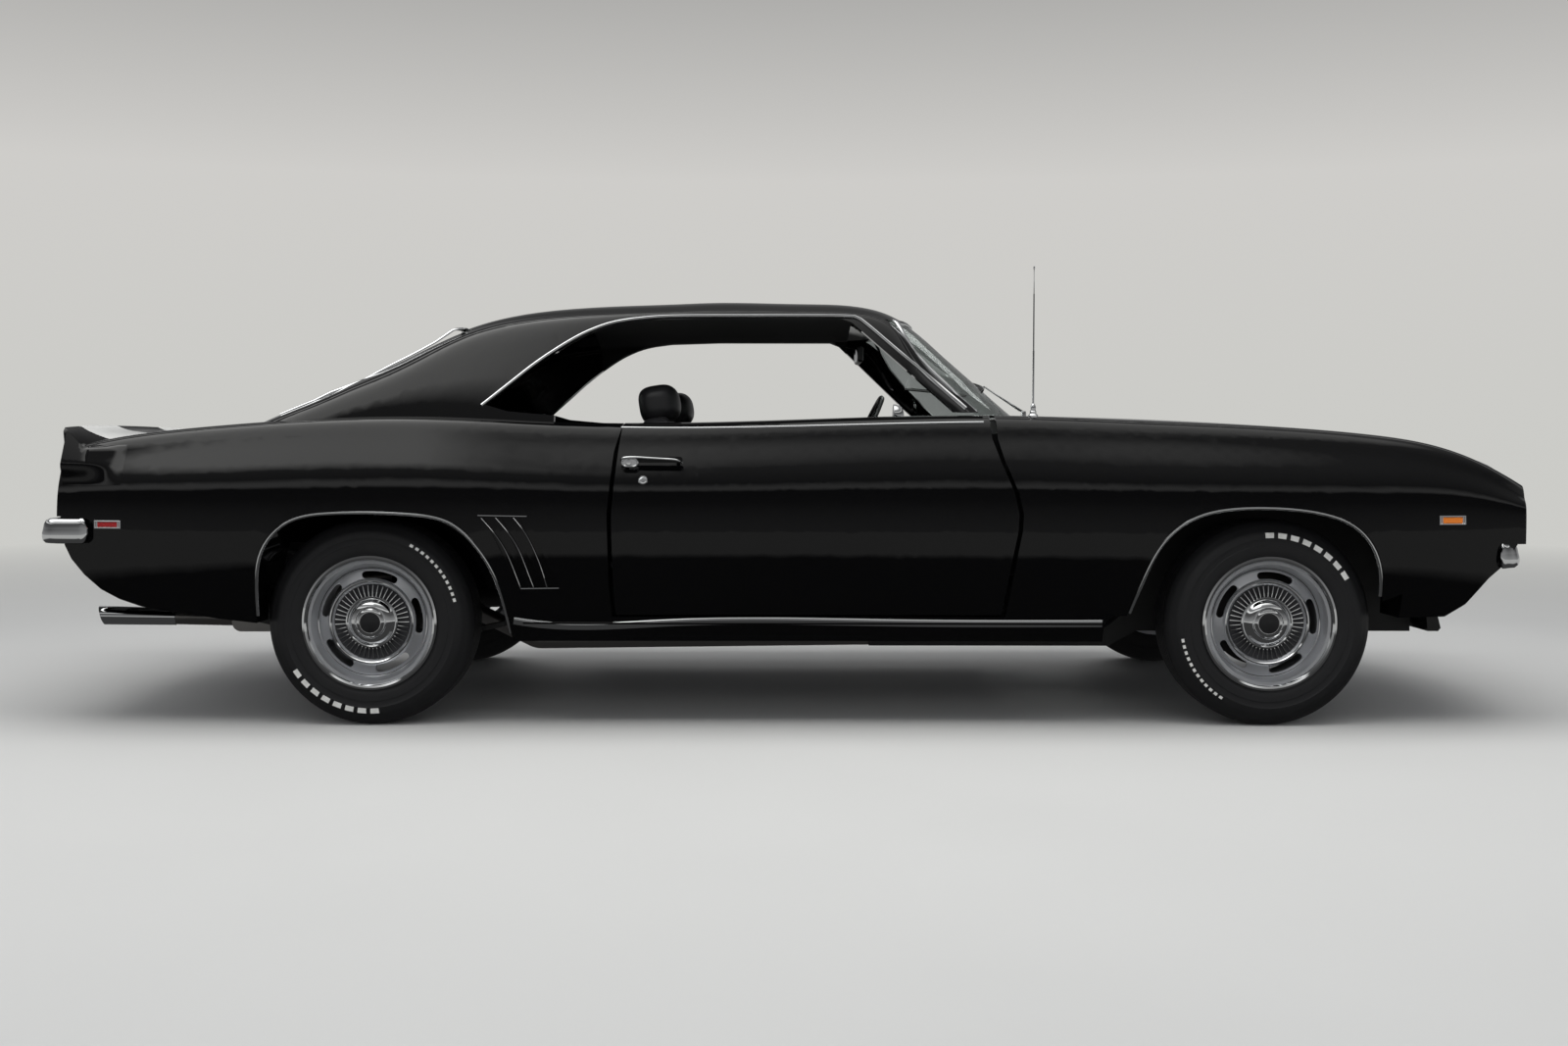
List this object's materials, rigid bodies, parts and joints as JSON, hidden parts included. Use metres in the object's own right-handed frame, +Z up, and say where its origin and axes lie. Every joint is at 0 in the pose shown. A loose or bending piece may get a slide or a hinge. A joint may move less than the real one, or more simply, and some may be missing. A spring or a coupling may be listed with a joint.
{
  "type": "muscle car",
  "caption": "Two-door hardtop muscle car with bucket seats, ducktail spoiler, opening doors, hood and deck lid, steering front wheels and slotted steel wheels.",
  "frame": {"origin": "on the floor under the middle of the car's length and width", "axes": "+X towards the front bumper, +Y to the car's left, +Z up"},
  "size_m": [4.7236, 1.9146, 1.4099],
  "materials": {
    "black_paint": "gloss",
    "glass": "gloss",
    "chrome": "polished",
    "dark_plastic": "satin",
    "lamp_glass": "gloss",
    "red_lens": "gloss",
    "marker_lens": "gloss",
    "floor_paint": "satin",
    "cast_iron": "rough",
    "seat_vinyl": "satin",
    "tyre_rubber": "matte",
    "wheel_silver": "satin"
  },
  "bodies": {
    "car_body": {"fender_right": "black_paint", "fender_left": "black_paint", "nose_panel": "black_paint", "rocker_panels": "black_paint", "windshield": "glass", "rear_window": "glass", "roof_panel": "black_paint", "quarter_right": "black_paint", "quarter_left": "black_paint", "pillars": "black_paint", "cowl": "black_paint", "rear_deck": "black_paint", "tail_panel": "black_paint", "front_bumper": "chrome", "rear_bumper": "chrome", "front_valance": "black_paint", "grille": "dark_plastic", "headlamps": "lamp_glass", "tail_lamps": "red_lens", "rear_valance": "black_paint", "side_markers": "marker_lens", "floor_pan": "floor_paint", "fire_wall": "floor_paint", "front_subframe": "floor_paint", "inner_fenders": "floor_paint", "engine_block": "cast_iron", "rear_axle": "cast_iron", "leaf_springs": "cast_iron", "exhaust": "chrome", "fuel_tank": "floor_paint", "dashboard": "dark_plastic", "front_seats": "seat_vinyl", "rear_seat": "seat_vinyl", "antenna": "chrome", "wipers": "chrome", "side_trims": "dark_plastic"},
    "hood": {"hood": "black_paint"},
    "decklid": {"decklid": "black_paint"},
    "door_right": {"door_right": "black_paint"},
    "door_left": {"door_left": "black_paint", "door_mirror": "chrome"},
    "knuckle_right": {"knuckle_right": "cast_iron"},
    "knuckle_left": {"knuckle_left": "cast_iron"},
    "steering_wheel": {"steering_wheel": "dark_plastic"},
    "wheel_front_right": {"tyre_front_right": "tyre_rubber", "wheel_front_right": "wheel_silver"},
    "wheel_front_left": {"tyre_front_left": "tyre_rubber", "wheel_front_left": "wheel_silver"},
    "wheel_rear_right": {"tyre_rear_right": "tyre_rubber", "wheel_rear_right": "wheel_silver"},
    "wheel_rear_left": {"tyre_rear_left": "tyre_rubber", "wheel_rear_left": "wheel_silver"}
  },
  "joints": [
    {"name": "hood_hinge", "type": "hinge", "parent": "car_body", "child": "hood", "pos_m": [0.74, 0, 0.92], "axis": [0, -1, 0], "range_deg": [0, 45]},
    {"name": "decklid_hinge", "type": "hinge", "parent": "car_body", "child": "decklid", "pos_m": [-1.79, 0, 0.9], "axis": [0, 1, 0], "range_deg": [0, 60]},
    {"name": "door_right_hinge", "type": "hinge", "parent": "car_body", "child": "door_right", "pos_m": [0.52, -0.872, 0.6], "axis": [0, 0, 1], "range_deg": [0, 62]},
    {"name": "door_left_hinge", "type": "hinge", "parent": "car_body", "child": "door_left", "pos_m": [0.52, 0.872, 0.6], "axis": [0, 0, -1], "range_deg": [0, 62]},
    {"name": "steer_right", "type": "hinge", "parent": "car_body", "child": "knuckle_right", "pos_m": [1.43, -0.657, 0.316], "axis": [0, 0, 1], "range_deg": [-33, 33]},
    {"name": "steer_left", "type": "hinge", "parent": "car_body", "child": "knuckle_left", "pos_m": [1.43, 0.657, 0.316], "axis": [0, 0, 1], "range_deg": [-33, 33]},
    {"name": "steering_wheel_turn", "type": "hinge", "parent": "car_body", "child": "steering_wheel", "pos_m": [0.232, 0.362, 0.86], "axis": [-0.9018, 0, 0.4321], "range_deg": [-528, 528]},
    {"name": "wheel_front_right_spin", "type": "hinge", "parent": "knuckle_right", "child": "wheel_front_right", "pos_m": [1.43, -0.757, 0.316], "axis": [0, 1, 0], "continuous": true},
    {"name": "wheel_front_left_spin", "type": "hinge", "parent": "knuckle_left", "child": "wheel_front_left", "pos_m": [1.43, 0.757, 0.316], "axis": [0, 1, 0], "continuous": true},
    {"name": "wheel_rear_right_spin", "type": "hinge", "parent": "car_body", "child": "wheel_rear_right", "pos_m": [-1.313, -0.7555, 0.316], "axis": [0, 1, 0], "continuous": true},
    {"name": "wheel_rear_left_spin", "type": "hinge", "parent": "car_body", "child": "wheel_rear_left", "pos_m": [-1.313, 0.7555, 0.316], "axis": [0, 1, 0], "continuous": true}
  ],
  "couplings": [
    {"joint": "steer_left", "follows": "steer_right", "ratio": 1},
    {"joint": "steering_wheel_turn", "follows": "steer_right", "ratio": 16}
  ]
}
